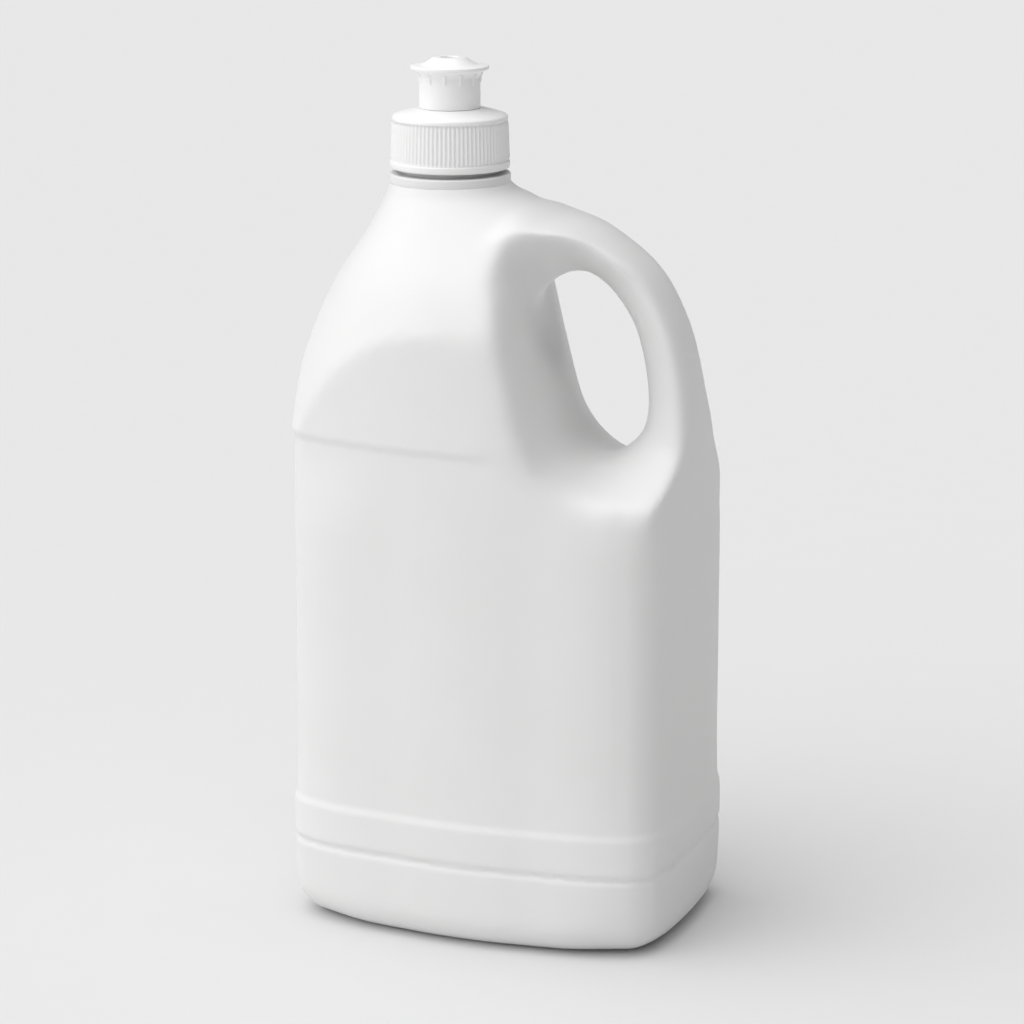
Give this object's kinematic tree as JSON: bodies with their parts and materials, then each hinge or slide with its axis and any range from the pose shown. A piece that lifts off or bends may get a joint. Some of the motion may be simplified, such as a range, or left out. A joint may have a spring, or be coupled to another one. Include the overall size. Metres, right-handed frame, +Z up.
{
  "type": "handled plastic jug",
  "caption": "Plain blow-moulded household jug with a hollow through-handle, an off-centre neck and a screw cap with a push-pull spout.",
  "frame": {"origin": "centre of the body's plan at the foot, which stands on z = 0", "axes": "+Z up along the jug, +X towards the handle, -Y towards the front face"},
  "size_m": [0.109, 0.08, 0.2331],
  "materials": {
    "jug_white": "satin blow-moulded polyethylene",
    "foam": "matte closed-cell foam",
    "cap_white": "satin moulded polypropylene",
    "spout_white": "satin moulded polypropylene"
  },
  "bodies": {
    "jug": {"jug_body": "jug_white"},
    "washer": {"sealing_washer": "foam"},
    "cap": {"screw_cap": "cap_white"},
    "spout": {"pull_spout": "spout_white"}
  },
  "joints": [
    {"name": "cap_lift", "type": "slide", "parent": "jug", "child": "washer", "axis": [0, 0, 1], "range_m": [0, 0.0064]},
    {"name": "cap_turn", "type": "hinge", "parent": "washer", "child": "cap", "pos_m": [-0.0168, 0, 0.216], "axis": [0, 0, 1], "range_deg": [0, 540]},
    {"name": "spout_pull", "type": "slide", "parent": "cap", "child": "spout", "axis": [0, 0, 1], "range_m": [0, 0.0042]}
  ],
  "couplings": [
    {"joint": "cap_lift", "follows": "cap_turn", "m_per_rad": 0.00067322}
  ]
}
